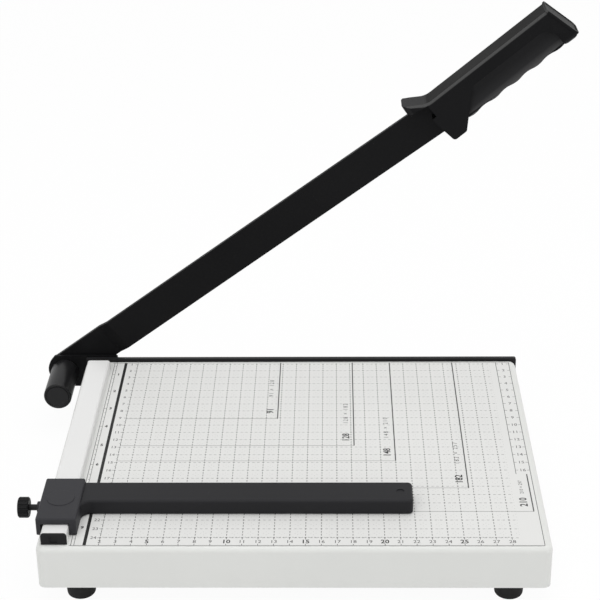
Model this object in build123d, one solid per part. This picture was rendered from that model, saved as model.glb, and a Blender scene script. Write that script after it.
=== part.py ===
from build123d import *
import math
import os

# Guillotine paper cutter: a pressed steel bed, a fixed knife along its back edge, and a
# cranked blade arm on a sprung pivot. Millimetres. Origin at the middle of the bed's
# footprint on the desk, +X along the knife away from the pivot, +Y to the back, +Z up.

# Bed
bed_width = 325.0
bed_depth = 248.5
tray_height = 30.0
tray_sheet = 1.2
tray_edge_radius = 4.0
tray_corner_radius = 5.0
tray_hem = 8.0
hem_gap = 1.0

# Feet
foot_height = 13.0
foot_top_radius = 10.0
foot_base_radius = 9.0
foot_edge_radius = 2.0
foot_inset_x = 25.3
foot_inset_y = 13.5
foot_recess_radius = 4.4
foot_recess_depth = 5.0
foot_collar_radius = 4.5
corner_plate_x = 40.0
corner_plate_y = 36.0
corner_plate_thickness = 1.5
corner_plate_radius = 6.0

# Fence rail, a lipped channel with its open side down
fence_width = 16.5
fence_height = 8.0
fence_sheet = 1.2
fence_edge_radius = 1.6
fence_lip = 3.4
fence_inset = 20.0
fence_front_gap = 5.0
fence_back_gap = 15.0
fence_screw_count = 3
fence_screw_margin = 32.0
fence_nut_width = 11.0
fence_nut_length = 12.0
fence_nut_thickness = 2.6
plug_flange = 1.5
plug_length = 12.0
plug_rib = 0.5
plug_corner_radius = 2.4

# Fixed knife
knife_thickness = 3.0
knife_height = 24.0
knife_proud = 1.2
knife_overhang = 1.0
knife_corner_radius = 1.5
knife_screw_count = 4
knife_screw_margin = 62.0

# Hinge bracket
bracket_thickness = 2.5
bracket_proud = 2.2
bracket_height = 26.0
bracket_corner_radius = 3.0
bracket_reach = 23.5
bracket_ear = 8.5
bracket_screw_pitch = 8.7
bracket_screw_edge = 5.6

# Pivot: bolt, washers, pressure spring and its cup
pivot_overhang = 17.5
pivot_drop = 11.2
bolt_radius = 4.0
bolt_head_radius = 7.0
bolt_head_height = 4.6
bolt_tail = 1.5
friction_washer_radius = 10.0
friction_washer_thickness = 0.5
head_washer_radius = 8.5
head_washer_thickness = 1.2
cup_length = 37.0
cup_radius = 9.4
cup_wall = 1.4
cup_end = 2.0
cup_chamfer = 1.7
seat_thickness = 2.5
spring_radius = 6.2
spring_wire_radius = 0.85
spring_turns = 6.0
end_washer_radius = 7.2
end_washer_thickness = 1.4
lock_nut_flats = 13.0
lock_nut_height = 6.2

# Blade arm
arm_rest_angle = 36.4
arm_thickness = 3.0
arm_hub_radius = 13.1
arm_end_half_width = 12.4
crank_length = 8.0
edge_bevel_height = 7.0
edge_land = 0.5
tang_half_width = 7.5
tang_length = 92.0
tang_shoulder = 6.0
handle_end_clearance = 0.6

# Handle
handle_tilt = 3.4
handle_length = 108.0
handle_thickness = 22.0
handle_height = 27.4
handle_edge_radius = 2.4
guard_fore = 2.4
guard_tip_drop = 6.2
guard_tip_rise = 6.6
guard_thickness = 10.8
guard_rim = 2.4
guard_lip_radius = 7.5
guard_lip_reach = 17.4
guard_lip_crest = 9.0
guard_lip_thickness = 3.6
guard_lip_lift = 0.7
guard_neck = 1.1
guard_sweep = 14.0
guard_root = 17.9
finger_swells = 5
finger_depth = 1.0
finger_start = 18.3
grip_line = 3.8
grip_step = 0.7
grip_depth = 2.4
grip_flare = 1.3
grip_corner_radius = 10.0
tail_length = 7.0
tail_drop = 1.8
tail_radius = 6.0
cap_thickness = 2.0
cap_lip = 0.5
cap_lean = 14.0
cap_rim = 1.6
cap_dish = 0.5
cap_plug = 7.0
socket_wall = 2.6
handle_screw_pitch = 15.0
handle_screw_start = 7.0
handle_screw_length = 14.0
handle_screw_sink = 3.2

# Paper guide
guide_length = 48.5
guide_setback = 14.0
guide_top = 12.5
guide_web = 4.0
guide_lift = 0.5
guide_left_leg = 3.0
guide_left_gap = 1.4
guide_right_leg = 4.6
guide_edge_radius = 1.3
guide_disc_radius = 9.0
guide_disc_height = 0.4
guide_boss_radius = 3.9
guide_boss_height = 2.6
bar_reach = 219.0
bar_width = 23.0
bar_height = 9.6
bar_lift = 0.8
bar_setback = 1.5
bar_wall = 2.2
bar_edge_radius = 1.6
bar_corner_radius = 3.0
bar_rib_pitch = 26.0
bar_gusset = 7.0
bar_dimple_radius = 2.6
bar_dimple_depth = 0.5
bar_dimple_inset = 8.0
bar_screw_bite = 6.0

# Thumb screw
clamp_height = 5.4
stud_radius = 2.0
stud_exposed = 5.2
knob_radius = 6.75
knob_length = 7.0
knob_flutes = 16
flute_radius = 0.7
insert_radius = 3.0

# Fasteners and fits
screw_radius = 2.0
csk_head_radius = 3.8
csk_head_height = 2.1
pan_head_radius = 3.7
pan_head_height = 2.4
nut_flats = 7.0
nut_height = 3.0
drive_radius = 1.3
drive_depth = 1.2
screw_tail = 1.0
hole_clearance = 0.15
running_clearance = 0.05
seat_clearance = 0.05
blade_clearance = 0.2
moving_gap = 0.3

# Heights and planes that several pieces share
tray_base_z = foot_height
bed_z = tray_base_z + tray_height
tray_left = -bed_width / 2
tray_right = bed_width / 2
tray_front = -bed_depth / 2
tray_back = bed_depth / 2
cut_y = tray_back + knife_thickness
paper_zero_x = tray_left + fence_inset
fence_x = paper_zero_x - fence_width / 2
fence_front = tray_front + fence_front_gap
fence_back = tray_back - fence_back_gap
pivot_x = tray_left - pivot_overhang
pivot_z = bed_z - pivot_drop
bracket_back_y = cut_y + bracket_thickness
hole_radius = screw_radius + hole_clearance


def facing(x, y, z, direction):
    """Frame at a point whose Z axis runs along a direction."""
    return Plane(origin=(x, y, z), z_dir=direction).location


def place(shape, x, y, z, direction):
    return facing(x, y, z, direction) * shape


def rod(radius, low, high):
    """Cylinder about Z between two heights."""
    return Pos(0, 0, low) * Cylinder(radius, high - low, align=(Align.CENTER, Align.CENTER, Align.MIN))


def block(x0, x1, y0, y1, z0, z1):
    return Pos(x0, y0, z0) * Box(x1 - x0, y1 - y0, z1 - z0, align=(Align.MIN, Align.MIN, Align.MIN))


def driver_recess(depth):
    """Cross-shaped recess with its mouth at height zero."""
    slot = block(-drive_radius, drive_radius, -drive_radius / 3, drive_radius / 3, -depth, 0)
    return slot + Rot(0, 0, 90) * slot


def csk_screw(length):
    """Countersunk screw: flat head face at height zero, shank pointing down."""
    head = Pos(0, 0, -csk_head_height / 2) * Cone(screw_radius, csk_head_radius, csk_head_height)
    return head + rod(screw_radius, -length, 0) - driver_recess(drive_depth)


def csk_hole(length):
    """Countersunk clearance hole for csk_screw."""
    mouth = csk_head_radius + hole_clearance
    head = Pos(0, 0, -csk_head_height / 2) * Cone(hole_radius, mouth, csk_head_height)
    return head + rod(hole_radius, -length, 0)


def pan_screw(length):
    """Pan head screw: underside of the head at height zero, shank pointing down."""
    head = rod(pan_head_radius, 0, pan_head_height)
    head = fillet(head.edges().sort_by(Axis.Z)[-1], pan_head_height * 0.45)
    recess = Pos(0, 0, pan_head_height) * driver_recess(drive_depth)
    return head + rod(screw_radius, -length, 0) - recess


def hex_nut(flats, height, bore):
    """Hexagon nut standing on height zero, corners eased on the free side."""
    nut = extrude(RegularPolygon(flats / 2, 6, major_radius=False), height)
    dome = Cone(flats * 0.75, flats * 0.5, height * 1.6, align=(Align.CENTER, Align.CENTER, Align.MIN))
    return (nut & dome) - rod(bore, -1, height + 1)


def spread(count, first, last):
    step = (last - first) / (count - 1) if count > 1 else 0
    return [first + step * index for index in range(count)]


# ---------------------------------------------------------------- fastener places
knife_left = tray_left
knife_right = tray_right + knife_overhang
bracket_right = tray_left + bracket_reach
bracket_left = pivot_x - bracket_ear
screw_line_z = bed_z + knife_proud - knife_height / 2
knife_screw_x = spread(knife_screw_count, bracket_right + knife_screw_margin / 2,
                       knife_right - knife_screw_margin / 2)
bracket_screw_x = [bracket_right - bracket_screw_edge,
                   bracket_right - bracket_screw_edge - bracket_screw_pitch]
fence_screw_y = spread(fence_screw_count, fence_front + fence_screw_margin, fence_back - fence_screw_margin)
foot_places = [(sx * (bed_width / 2 - foot_inset_x), sy * (bed_depth / 2 - foot_inset_y))
               for sx in (-1, 1) for sy in (-1, 1)]


def hem_mouth():
    """Opening between the four hems, and the relief at each corner where the folded sheet parts."""
    def between(trim_x, trim_y):
        return block(tray_left + trim_x, tray_right - trim_x, tray_front + trim_y, tray_back - trim_y,
                     tray_base_z - 1, tray_base_z + tray_sheet + 1)

    walls = between(tray_sheet, tray_sheet)
    walls = fillet(walls.edges().filter_by(Axis.Z), tray_corner_radius - tray_sheet)
    hem_end = tray_hem + hem_gap
    return walls - between(0, hem_end) - between(hem_end, 0) + between(tray_hem, tray_hem)


def make_tray():
    """Pressed tray: flat bed, four walls and a hem turned in at the bottom of each."""
    def shell_body(margin, low, high, corner, edge):
        body = block(tray_left + margin, tray_right - margin,
                     tray_front + margin, tray_back - margin, low, high)
        body = fillet(body.edges().filter_by(Axis.Z), corner)
        return fillet(body.edges().group_by(Axis.Z)[-1], edge)

    outer = shell_body(0, tray_base_z, bed_z, tray_corner_radius, tray_edge_radius)
    inner = shell_body(tray_sheet, tray_base_z + tray_sheet, bed_z - tray_sheet,
                       tray_corner_radius - tray_sheet, tray_edge_radius - tray_sheet)
    tray = outer - inner - hem_mouth()
    for x in knife_screw_x + bracket_screw_x:
        tray -= place(rod(hole_radius, -1, tray_sheet + 1), x, tray_back, screw_line_z, (0, -1, 0))
    for y in fence_screw_y:
        tray -= Pos(fence_x, y, bed_z) * rod(hole_radius, -tray_sheet - 1, 1)
    return tray


def make_corner_plates():
    """Four plates on the hem that carry the feet."""
    plates = []
    low = tray_base_z + tray_sheet
    for x, y in foot_places:
        sx, sy = math.copysign(1, x), math.copysign(1, y)
        wall_x = sx * (bed_width / 2 - tray_sheet - seat_clearance)
        wall_y = sy * (bed_depth / 2 - tray_sheet - seat_clearance)
        plate = Box(corner_plate_x, corner_plate_y, corner_plate_thickness,
                    align=(Align.CENTER, Align.CENTER, Align.MIN))
        plate = fillet(plate.edges().filter_by(Axis.Z), corner_plate_radius)
        plate = Pos(wall_x - sx * corner_plate_x / 2, wall_y - sy * corner_plate_y / 2, low) * plate
        plates.append(plate - Pos(x, y, low) * rod(hole_radius, -1, corner_plate_thickness + 1))
    return Compound(children=plates)


foot_top_z = tray_base_z + tray_sheet


def make_foot(x, y):
    """Tapered rubber foot under the hem, a collar up to the plate, and a recess for its screw."""
    body = Cone(foot_base_radius, foot_top_radius, foot_height,
                align=(Align.CENTER, Align.CENTER, Align.MIN))
    body = fillet(body.edges().sort_by(Axis.Z)[0], foot_edge_radius)
    body += rod(foot_collar_radius, foot_height, foot_top_z)
    body -= rod(foot_recess_radius, -1, foot_recess_depth)
    body -= rod(hole_radius, -1, foot_top_z + 1)
    return Pos(x, y, 0) * body


def make_foot_screws():
    length = foot_top_z - foot_recess_depth + corner_plate_thickness + nut_height + screw_tail
    return Compound(children=[place(pan_screw(length), x, y, foot_recess_depth, (0, 0, -1))
                              for x, y in foot_places])


def make_foot_nuts():
    nut = hex_nut(nut_flats, nut_height, hole_radius)
    return Compound(children=[Pos(x, y, foot_top_z + corner_plate_thickness) * nut for x, y in foot_places])


def make_fence():
    """Lipped channel, open side down, screwed to the bed."""
    profile = Pos(0, fence_height / 2) * Rectangle(fence_width, fence_height)
    profile = fillet(profile.vertices().group_by(Axis.Y)[-1], fence_edge_radius)
    inner_width = fence_width - 2 * fence_sheet
    inner = Pos(0, fence_height / 2) * Rectangle(inner_width, fence_height - 2 * fence_sheet)
    inner = fillet(inner.vertices().group_by(Axis.Y)[-1], fence_edge_radius - fence_sheet * 0.8)
    mouth = Rectangle(inner_width - 2 * fence_lip, 4 * fence_sheet)
    frame = Plane(origin=(fence_x, fence_front, bed_z), x_dir=(1, 0, 0), z_dir=(0, -1, 0))
    return extrude(frame * (profile - inner - mouth), -(fence_back - fence_front))


def make_fence_plug(y, side):
    """Moulded plug at one end of the rail: a flange over the end and a tongue inside it."""
    flange = Pos(0, fence_height / 2) * Rectangle(fence_width, fence_height)
    flange = fillet(flange.vertices().group_by(Axis.Y)[-1], plug_corner_radius)
    tongue_low = fence_sheet + seat_clearance
    tongue_high = fence_height - fence_sheet - seat_clearance
    tongue = Pos(0, (tongue_low + tongue_high) / 2) * Rectangle(
        fence_width - 2 * fence_sheet - 2 * fence_edge_radius, tongue_high - tongue_low)
    body = extrude(flange, plug_flange)
    body = chamfer(body.faces().sort_by(Axis.Z)[-1].edges(), plug_rib)
    body += extrude(tongue, -plug_length)
    body -= block(-plug_corner_radius, plug_corner_radius, tongue_low + plug_rib, tongue_high - plug_rib,
                  plug_flange - plug_rib, plug_flange + 1)
    frame = Plane(origin=(fence_x, y, bed_z), x_dir=(-side, 0, 0), z_dir=(0, side, 0))
    return frame.location * body


def make_fence_screws():
    length = tray_sheet + fence_sheet + fence_nut_thickness + screw_tail
    return Compound(children=[place(pan_screw(length), fence_x, y, bed_z - tray_sheet, (0, 0, -1))
                              for y in fence_screw_y])


def make_fence_nuts():
    """Plate nuts that slide inside the rail above its lips."""
    nut = Box(fence_nut_width, fence_nut_length, fence_nut_thickness,
              align=(Align.CENTER, Align.CENTER, Align.MIN))
    nut = chamfer(nut.edges().filter_by(Axis.Z), fence_sheet)
    nut -= rod(hole_radius, -1, fence_nut_thickness + 1)
    return Compound(children=[Pos(fence_x, y, bed_z + fence_sheet) * nut for y in fence_screw_y])


def make_knife():
    """Fixed knife: flat ground bar standing a little proud of the bed."""
    top = bed_z + knife_proud
    bar = block(knife_left, knife_right, tray_back, cut_y, top - knife_height, top)
    bar = fillet(bar.edges().filter_by(Axis.Y).group_by(Axis.X)[-1], knife_corner_radius)
    for x in knife_screw_x:
        bar -= place(csk_hole(knife_thickness + 1), x, cut_y, screw_line_z, (0, 1, 0))
    for x in bracket_screw_x:
        bar -= place(rod(hole_radius, -knife_thickness - 1, 1), x, cut_y, screw_line_z, (0, 1, 0))
    return bar


def make_knife_screws():
    length = knife_thickness + tray_sheet + nut_height + screw_tail
    return Compound(children=[place(csk_screw(length), x, cut_y, screw_line_z, (0, 1, 0))
                              for x in knife_screw_x])


def make_wall_nuts(places):
    nut = hex_nut(nut_flats, nut_height, hole_radius)
    return Compound(children=[place(nut, x, tray_back - tray_sheet, screw_line_z, (0, -1, 0))
                              for x in places])


def make_bracket():
    """Hinge bracket: plate behind the knife whose ear carries the pivot."""
    top = bed_z + bracket_proud
    plate = block(bracket_left, bracket_right, cut_y, bracket_back_y, top - bracket_height, top)
    plate = fillet(plate.edges().filter_by(Axis.Y).group_by(Axis.X)[0], bracket_corner_radius)
    plate = fillet(plate.edges().filter_by(Axis.Y).group_by(Axis.X)[-1], knife_corner_radius)
    plate -= place(rod(bolt_radius + hole_clearance, -bracket_thickness - 1, 1),
                   pivot_x, bracket_back_y, pivot_z, (0, 1, 0))
    for x in bracket_screw_x:
        plate -= place(csk_hole(bracket_thickness + 1), x, bracket_back_y, screw_line_z, (0, 1, 0))
    return plate


def make_bracket_screws():
    length = bracket_thickness + knife_thickness + tray_sheet + nut_height + screw_tail
    return Compound(children=[place(csk_screw(length), x, bracket_back_y, screw_line_z, (0, 1, 0))
                              for x in bracket_screw_x])


# ---------------------------------------------------------------- pivot stack
# Distances along the bolt, counted forwards (towards -Y) from the back face of the bracket.
hub_front = -friction_washer_thickness - moving_gap / 2
hub_back = hub_front - arm_thickness
head_washer_front = hub_back - moving_gap / 2
head_washer_back = head_washer_front - head_washer_thickness
cup_front = bracket_thickness + cup_length
seat_front = bracket_thickness + seat_thickness
nut_front = cup_front - cup_end - bolt_tail
nut_back = nut_front - lock_nut_height
spring_back = bracket_thickness + seat_thickness / 2
spring_front = nut_back - end_washer_thickness


def on_pivot(shape):
    """Pivot parts are built along Z, with +Z forwards and zero on the bracket's back face."""
    return place(shape, pivot_x, bracket_back_y, pivot_z, (0, -1, 0))


def ring(outer, inner, low, high):
    return rod(outer, low, high) - rod(inner, low - 1, high + 1)


def make_bolt():
    """Pivot bolt: domed socket head behind the arm, long shank through the spring."""
    head_low = head_washer_back - bolt_head_height
    head = rod(bolt_head_radius, head_low, head_washer_back)
    head = fillet(head.edges().sort_by(Axis.Z)[0], bolt_head_height * 0.5)
    socket = extrude(Pos(0, 0, head_low) * RegularPolygon(bolt_radius * 0.6, 6), bolt_head_height * 0.6)
    shank = rod(bolt_radius, head_washer_back - bolt_head_height * 0.1, nut_front + bolt_tail / 2)
    shank = chamfer(shank.edges().sort_by(Axis.Z)[-1], bolt_radius * 0.15)
    return on_pivot(head + shank - socket)


def make_seat():
    """Stepped washer that centres the spring and the cup on the bracket."""
    body = rod(cup_radius - cup_wall - seat_clearance, bracket_thickness, spring_back)
    body += rod(spring_radius - spring_wire_radius - seat_clearance, spring_back, seat_front)
    return on_pivot(body - rod(bolt_radius + hole_clearance, 0, seat_front + 1))


def make_spring():
    """Pressure spring: round wire helix, ground flat at both ends."""
    rise = spring_front - spring_back
    path = Pos(0, 0, spring_back) * Helix(rise / spring_turns, rise, spring_radius)
    wire = sweep(Plane(origin=path @ 0, z_dir=path % 0) * Circle(spring_wire_radius), path, is_frenet=True)
    return on_pivot(wire & rod(spring_radius + 2 * spring_wire_radius, spring_back, spring_front))


def make_lock_nut():
    nut = hex_nut(lock_nut_flats, lock_nut_height, bolt_radius + seat_clearance)
    return on_pivot(Pos(0, 0, nut_back) * nut)


def make_cup():
    """Cup over the spring, closed and chamfered at its free end."""
    body = rod(cup_radius, bracket_thickness, cup_front)
    body = chamfer(body.edges().sort_by(Axis.Z)[-1], cup_chamfer)
    return on_pivot(body - rod(cup_radius - cup_wall, bracket_thickness - 1, cup_front - cup_end))


# ---------------------------------------------------------------- blade arm
# The arm, its handle and their screws are built closed: X from the pivot along the arm, Y from the
# cutting plane to the back, Z up from the pivot. place_arm turns them up to the rest angle.
blade_front = blade_clearance
blade_back = blade_front + arm_thickness
hub_plane = bracket_thickness - hub_front
bracket_sweep = math.hypot(bracket_right - pivot_x,
                           max(bracket_proud + pivot_drop, bracket_height - bracket_proud - pivot_drop))
crank_start = bracket_sweep + 1.0
crank_end = crank_start + crank_length
handle_start = knife_right - pivot_x + handle_end_clearance
handle_origin = handle_start + guard_fore
blade_end = handle_origin + tang_shoulder
handle_mid = blade_front + arm_thickness / 2
handle_front = handle_mid - handle_thickness / 2
handle_back = handle_mid + handle_thickness / 2
handle_screw_x = [handle_screw_start, handle_screw_start + handle_screw_pitch]


def place_arm(shape):
    return Location((pivot_x, cut_y, pivot_z), (0, -arm_rest_angle, 0)) * shape


def place_handle(shape):
    """The handle is tilted up from the arm about a point on its centre line."""
    return Location((handle_origin, 0, 0), (0, -handle_tilt, 0)) * shape


def slab(outline, front, back):
    """Stand an XY outline up in the XZ plane and give it a depth along Y."""
    upright = Plane(origin=(0, back, 0), x_dir=(1, 0, 0), z_dir=(0, -1, 0)) * outline
    return extrude(upright, back - front)


def make_tang(spare, front, back):
    half = tang_half_width + spare
    length = tang_length + spare
    return place_handle(slab(Pos(length / 2, 0) * Rectangle(length, 2 * half), front, back))


def make_blade_plate(spare, front, back):
    """Bar outline with its rounded hub and parallel lower edge."""
    hub = arm_hub_radius + spare
    half = arm_end_half_width + spare
    edge = Polyline((0, -hub), (blade_end + spare, -hub), (blade_end + spare, half), (0, hub))
    return slab(make_face(edge + ThreePointArc((0, hub), (-hub, 0), (0, -hub))), front, back)


def make_arm():
    """Cranked bar with a rounded hub, a ground lower edge and a tang inside the handle."""
    far = hub_plane + arm_thickness
    reach = handle_origin + tang_length + 2
    plate = make_blade_plate(0, -1, far + 1) + make_tang(0, blade_front, blade_back)
    ribbon = make_face(Polyline((-arm_hub_radius - 1, hub_plane), (crank_start, hub_plane),
                                (crank_end, blade_front), (reach, blade_front),
                                (reach, blade_back), (crank_end, blade_back),
                                (crank_start, far), (-arm_hub_radius - 1, far), close=True))
    bends = [v for v in ribbon.vertices() if crank_start - 1 < v.X < crank_end + 1]
    ribbon = fillet(bends, arm_thickness * 0.8)
    arm = plate & extrude(Pos(0, 0, -2 * arm_hub_radius) * ribbon, 4 * arm_hub_radius)
    depth = arm_thickness - edge_land
    bevel = make_face(Polyline((blade_front + edge_land, -1), (blade_front + edge_land, 0),
                               (blade_back, edge_bevel_height), (blade_back + depth, edge_bevel_height),
                               (blade_back + depth, -1), close=True))
    frame = Plane(origin=(crank_end + crank_length / 2, 0, -arm_hub_radius),
                  x_dir=(0, 1, 0), z_dir=(1, 0, 0))
    arm -= extrude(frame * bevel, handle_start - crank_end - crank_length)
    arm -= place(rod(bolt_radius + running_clearance, -arm_thickness - 1, 1), 0, far, 0, (0, 1, 0))
    for x in handle_screw_x:
        hole = place(rod(hole_radius, -arm_thickness - 1, 1), x, blade_back, 0, (0, 1, 0))
        arm -= place_handle(hole)
    return place_arm(arm)


# ---------------------------------------------------------------- handle
# Built along its own axis: X towards the free end, Z up, zero where it leaves the guard.
half_height = handle_height / 2
grip_end = handle_length - tail_length
lean = math.tan(math.radians(cap_lean))
end_top = (handle_length - half_height * lean, half_height)
end_bottom = (handle_length + half_height * lean, -half_height)


def finger_wave():
    """Finger grooves along the lower edge: equal arcs, alternately out and in."""
    middle = -half_height + finger_depth / 2
    half_waves = 2 * finger_swells - 1
    half_pitch = (grip_end - finger_start) / half_waves
    arcs = []
    for index in range(half_waves):
        left = finger_start + index * half_pitch
        swing = -finger_depth / 2 if index % 2 == 0 else finger_depth / 2
        arcs.append(ThreePointArc((left, middle), (left + half_pitch / 2, middle + swing),
                                  (left + half_pitch, middle)))
    return arcs, (finger_start, middle), (grip_end, middle)


tip_low = -half_height - guard_tip_drop
tip_high = half_height + guard_tip_rise
lip_low = half_height + guard_lip_lift
guard_foot = (guard_thickness, tip_low)
grip_root = (guard_root, -half_height + finger_depth)


def handle_outline():
    """Side view: guard with a rising lip and a falling tip, straight top, wavy belly, a heel at the end."""
    arcs, wave_start, wave_end = finger_wave()
    falling = Polyline((-guard_fore, -guard_fore), (0, tip_low), guard_foot, grip_root, wave_start)
    heel = ThreePointArc(wave_end, ((grip_end + end_bottom[0]) / 2, -half_height - tail_drop), end_bottom)
    rest = Polyline(end_bottom, end_top, (guard_neck, half_height), (-guard_lip_crest, tip_high),
                    (-guard_lip_reach, lip_low + guard_tip_rise / 2),
                    (guard_lip_thickness - guard_lip_reach, lip_low),
                    (guard_neck, half_height - guard_neck), (guard_neck, guard_fore),
                    (-guard_fore, guard_fore), (-guard_fore, -guard_fore))
    outline = Curve() + falling + heel + rest
    for arc in arcs:
        outline += arc
    return make_face(outline)


def grip_outline():
    """Side view of the recessed grip: it carries the guard's rear edge on up to a straight line."""
    slope = (grip_root[0] - guard_foot[0]) / (grip_root[1] - guard_foot[1])
    low = -handle_height
    outline = make_face(Polyline((grip_root[0] + slope * (low - grip_root[1]), low),
                                 (grip_root[0] + slope * (grip_line - grip_root[1]), grip_line),
                                 (grip_end, grip_line), (grip_end, low), close=True))
    corners = outline.vertices().sort_by(Axis.Y)[-2:].sort_by(Axis.X)
    outline = fillet(corners[1], grip_corner_radius)
    return fillet(outline.vertices().sort_by(Axis.Y)[-2:].sort_by(Axis.X)[0], grip_corner_radius / 2)


def grip_trough(side):
    """Hollowed side of the grip, along the whole handle: in at the line, out again at the fingers."""
    face = side * handle_thickness / 2
    low = -handle_height
    arc = ThreePointArc((face - side * grip_step, grip_line), (face - side * grip_depth, 0),
                        (face - side * grip_flare, -half_height))
    outside = Polyline((face - side * grip_flare, -half_height), (face - side * grip_flare, low),
                       (face + side * 1, low), (face + side * 1, grip_line),
                       (face - side * grip_step, grip_line))
    frame = Plane(origin=(0, handle_mid, 0), x_dir=(0, 1, 0), z_dir=(1, 0, 0))
    return extrude(frame * make_face(Curve() + arc + outside), handle_length + guard_thickness)


def tail_corners():
    """What the rounded lower corners of the heel leave out, beyond the grip."""
    low = -half_height - tail_drop
    far = 2 * handle_length
    heel = block(grip_end, far, handle_front, handle_back, low, handle_height)
    heel = fillet(heel.edges().filter_by(Axis.X).group_by(Axis.Z)[0], tail_radius)
    return block(grip_end, far, handle_front - 1, handle_back + 1, low - 1, 0) - heel


def handle_shape():
    """Outer form of the handle: hand guard, crown, finger grooves, heel and hollowed grip."""
    outline = handle_outline()
    tips = [v for v in outline.vertices()
            if abs(v.Y) > half_height + guard_tip_drop / 3 and v.X < finger_start]
    outline = fillet(tips, guard_rim)
    sweep = [v for v in outline.vertices() if abs(v.Y - half_height) < seat_clearance and v.X < guard_root]
    outline = fillet(sweep, guard_sweep)
    body = slab(outline, handle_front, handle_back)
    sides = [e for e in body.edges()
             if abs(e.center().Y - handle_mid) > handle_thickness / 2 - seat_clearance]
    crown = [e for e in sides if e.center().Z > half_height - seat_clearance]
    body = fillet(crown, handle_edge_radius)
    plan = block(body.bounding_box().min.X, 2 * handle_length, handle_front, handle_back,
                 -handle_height, handle_height)
    body &= fillet(plan.edges().filter_by(Axis.Z).group_by(Axis.X)[0], guard_lip_radius)
    grip = slab(grip_outline(), handle_mid - handle_thickness, handle_mid + handle_thickness)
    for side in (-1, 1):
        body -= grip_trough(side) & grip
    return body - tail_corners()


def cap_plane():
    """Leaning plane at the free end of the handle, X up its face, Z outwards."""
    angle = math.radians(cap_lean)
    return Plane(origin=(handle_length, handle_mid, 0), x_dir=(-math.sin(angle), 0, math.cos(angle)),
                 z_dir=(math.cos(angle), 0, math.sin(angle)))


cap_face_height = handle_height / math.cos(math.radians(cap_lean))


def cap_plug_shape(spare, depth):
    """Rectangular spigot of the cap, also the pocket it fills."""
    width = handle_thickness - 2 * (socket_wall + grip_step) + 2 * spare
    height = cap_face_height - 2 * (socket_wall + finger_depth) + 2 * spare
    plug = RectangleRounded(height, width, handle_edge_radius)
    return extrude(cap_plane() * plug, -depth)


def make_handle():
    """Moulded handle with its socket, end pocket and screw seats, on the arm."""
    body = handle_shape() - cap_plug_shape(seat_clearance, cap_plug + screw_tail)
    for x in handle_screw_x:
        seat = rod(pan_head_radius + hole_clearance, -handle_screw_sink, 1)
        seat += rod(screw_radius, -handle_screw_length - handle_screw_sink, 1)
        body -= place(seat, x, handle_back, 0, (0, 1, 0))
    body = place_handle(body)
    body -= make_blade_plate(seat_clearance, blade_front - seat_clearance, blade_back + seat_clearance)
    body -= make_tang(seat_clearance, blade_front - seat_clearance, blade_back + seat_clearance)
    return place_arm(body)


def cap_face(inset):
    """End face of the cap, inset from its rim: tight upper corners, round lower ones."""
    face = Rectangle(cap_face_height + 2 * (cap_lip - inset), handle_thickness + 2 * (cap_lip - inset))
    corners = face.vertices().group_by(Axis.X)
    face = fillet(corners[-1], handle_edge_radius)
    return fillet(face.vertices().group_by(Axis.X)[0], tail_radius * 0.8)


def make_handle_cap():
    """Leaning end cap, a little larger than the handle, dished inside its rim, with a hollow plug."""
    plate = extrude(cap_plane() * cap_face(0), cap_thickness)
    plate = fillet(plate.faces().sort_by(Axis.X)[-1].edges(), cap_lip)
    dish = Plane(origin=cap_plane().from_local_coords((0, 0, cap_thickness)), x_dir=cap_plane().x_dir,
                 z_dir=cap_plane().z_dir)
    plate -= extrude(dish * cap_face(cap_rim), -cap_dish)
    plug = cap_plug_shape(0, cap_plug) - cap_plug_shape(-socket_wall / 2, cap_plug + 1)
    return place_arm(place_handle(plate + plug))


def make_handle_screws():
    screws = [place(pan_screw(handle_screw_length), x, handle_back - handle_screw_sink, 0, (0, 1, 0))
              for x in handle_screw_x]
    return Compound(children=[place_arm(place_handle(screw)) for screw in screws])


# ---------------------------------------------------------------- paper guide
guide_left = paper_zero_x - fence_width - guide_left_gap - guide_left_leg
guide_right = paper_zero_x + moving_gap + guide_right_leg
guide_front = tray_front + guide_setback
guide_back = guide_front + guide_length
guide_mid = (guide_front + guide_back) / 2
guide_low = bed_z + guide_lift
guide_high = bed_z + guide_top
clamp_z = bed_z + clamp_height
bar_right = paper_zero_x + bar_reach
bar_back = guide_back - bar_setback
bar_front = bar_back - bar_width
bar_low = bed_z + bar_lift
bar_high = bar_low + bar_height
bar_screw_y = [bar_front + bar_width * share for share in (0.28, 0.72)]
bar_screw_z = bed_z + (bar_lift + bar_height) / 2


def make_guide_head():
    """Saddle over the fence: web, two legs, a raised disc and the thumb screw's boss."""
    head = block(guide_left, guide_right, guide_front, guide_back, guide_low, guide_high)
    head = fillet(head.edges().filter_by(Axis.Z), guide_edge_radius)
    head = fillet(head.edges().group_by(Axis.Z)[-1], guide_edge_radius)
    head -= block(guide_left + guide_left_leg, guide_right - guide_right_leg,
                  guide_front - 1, guide_back + 1, guide_low - 1, guide_high - guide_web)
    boss = place(rod(guide_boss_radius, -guide_left_leg / 2, guide_boss_height),
                 guide_left, guide_mid, clamp_z, (-1, 0, 0))
    head += fillet(boss.edges().sort_by(Axis.X)[0], guide_edge_radius / 2)
    middle = (guide_left + guide_right) / 2
    disc = rod(guide_disc_radius, -guide_disc_height, guide_disc_height)
    disc = Pos(middle, guide_mid, guide_high) * disc
    head += fillet(disc.edges().sort_by(Axis.Z)[-1], guide_disc_height * 0.9)
    bore = place(rod(insert_radius, -guide_left_leg - 1, guide_boss_height + 1),
                 guide_left, guide_mid, clamp_z, (-1, 0, 0))
    head -= bore
    for y in bar_screw_y:
        head -= place(csk_hole(guide_right_leg + 1),
                      guide_right - guide_right_leg, y, bar_screw_z, (-1, 0, 0))
    return head


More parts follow.
